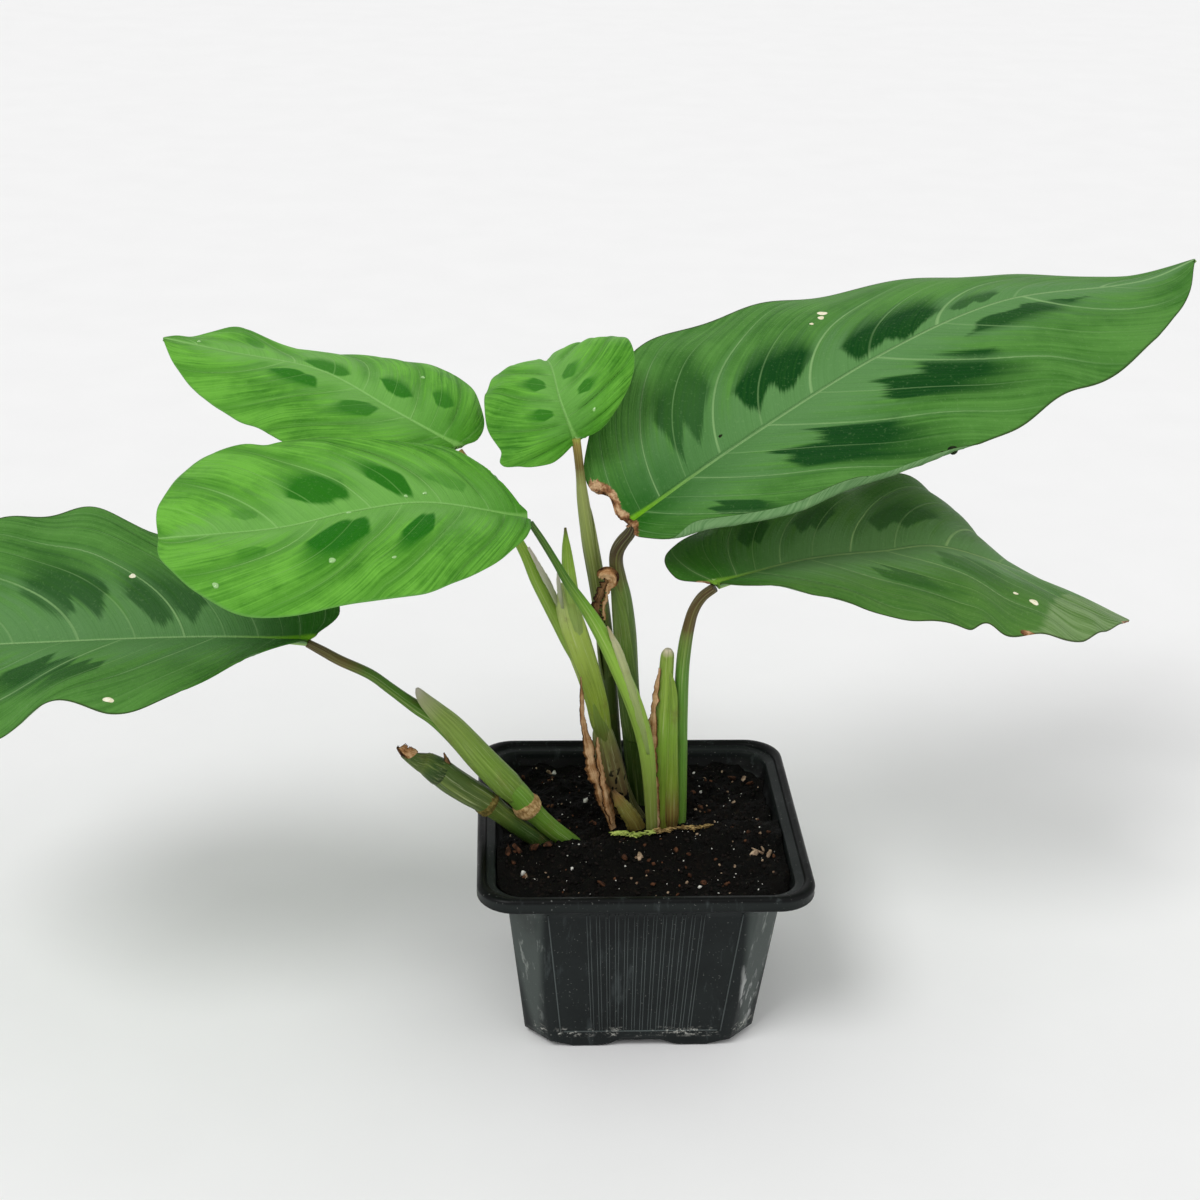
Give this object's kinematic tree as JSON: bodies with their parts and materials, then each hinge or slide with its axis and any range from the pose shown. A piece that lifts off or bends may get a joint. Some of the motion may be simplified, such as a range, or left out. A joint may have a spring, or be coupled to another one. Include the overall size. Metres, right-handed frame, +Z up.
{
  "type": "potted prayer plant",
  "caption": "Young prayer plant with broad blotched leaves on slender sheathed stems, growing in a square black nursery pot filled with peat.",
  "frame": {"origin": "middle of the pot's base, on the surface that it stands on", "axes": "+Z up, -Y towards the viewer's side of the pot, +X towards the largest leaf"},
  "size_m": [0.3017, 0.1159, 0.1524],
  "materials": {
    "pot_plastic": "satin, slightly scuffed",
    "peat": "damp, crumbly",
    "moss": "matt",
    "dark_leaf": "satin, blotched",
    "light_leaf": "satin, blotched",
    "pale_stem": "satin",
    "green_stem": "satin",
    "olive_stem": "satin",
    "dry_husk": "papery"
  },
  "bodies": {
    "root": {"pot": "pot_plastic", "soil": "peat", "moss_strands": "moss", "stem_right": "green_stem", "stem_lower_right": "green_stem", "stem_centre": "olive_stem", "stem_upper_left": "pale_stem", "stem_front_left": "pale_stem", "stem_far_left": "green_stem", "broken_stem": "green_stem", "rolled_leaf": "pale_stem", "bract": "pale_stem", "dry_sheath_tall": "dry_husk", "dry_sheath_upper": "dry_husk", "dry_sheath_right": "dry_husk", "leaf_right": "dark_leaf", "leaf_lower_right": "dark_leaf", "leaf_centre": "light_leaf", "leaf_upper_left": "light_leaf", "leaf_front_left": "light_leaf", "leaf_far_left": "dark_leaf"}
  },
  "joints": []
}
